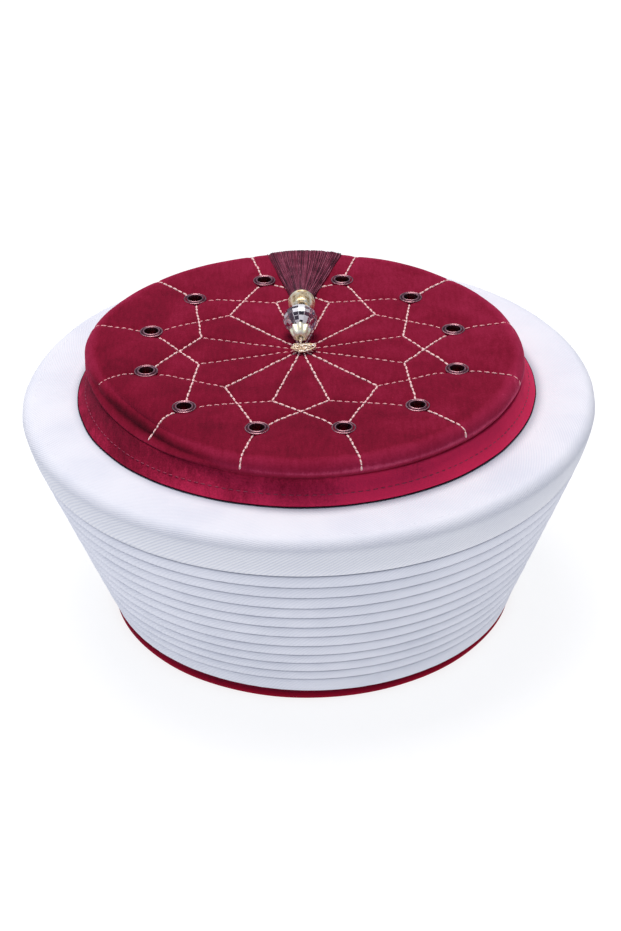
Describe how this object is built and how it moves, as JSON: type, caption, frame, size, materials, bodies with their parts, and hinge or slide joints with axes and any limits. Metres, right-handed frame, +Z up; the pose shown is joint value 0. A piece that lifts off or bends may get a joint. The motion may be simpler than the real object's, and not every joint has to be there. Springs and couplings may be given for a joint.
{
  "type": "turban hat",
  "caption": "Turban hat: velvet cap with quilted crown and eyelets, a pleated white turban wound round it, and a tassel with a crystal bead.",
  "frame": {"origin": "centre of the hem's round, on the surface that the hat rests on", "axes": "+Z up along the cap's axis, the tassel lies towards +Y and the front is -Y"},
  "size_m": [0.271, 0.271, 0.1479],
  "materials": {
    "burgundy_velvet": "matt pile",
    "white_twill": "matt weave",
    "bronze": "polished, reddish bronze",
    "pale_gold": "polished",
    "crystal": "clear, faceted",
    "gold_thread": "twisted thread",
    "plum_floss": "silky strands"
  },
  "bodies": {
    "root": {"cap_body": "burgundy_velvet", "pleated_wrap": "white_twill", "top_band": "white_twill", "collar": "burgundy_velvet", "crown": "burgundy_velvet", "centre_knot": "gold_thread", "hanging_cord": "gold_thread", "bead_cup": "pale_gold", "crystal_bead": "crystal", "ferrule": "pale_gold", "tassel_skirt": "plum_floss", "eyelet_01": "bronze", "eyelet_02": "bronze", "eyelet_03": "bronze", "eyelet_04": "bronze", "eyelet_05": "bronze", "eyelet_06": "bronze", "eyelet_07": "bronze", "eyelet_08": "bronze", "eyelet_09": "bronze", "eyelet_10": "bronze", "eyelet_11": "bronze", "eyelet_12": "bronze"}
  },
  "joints": []
}
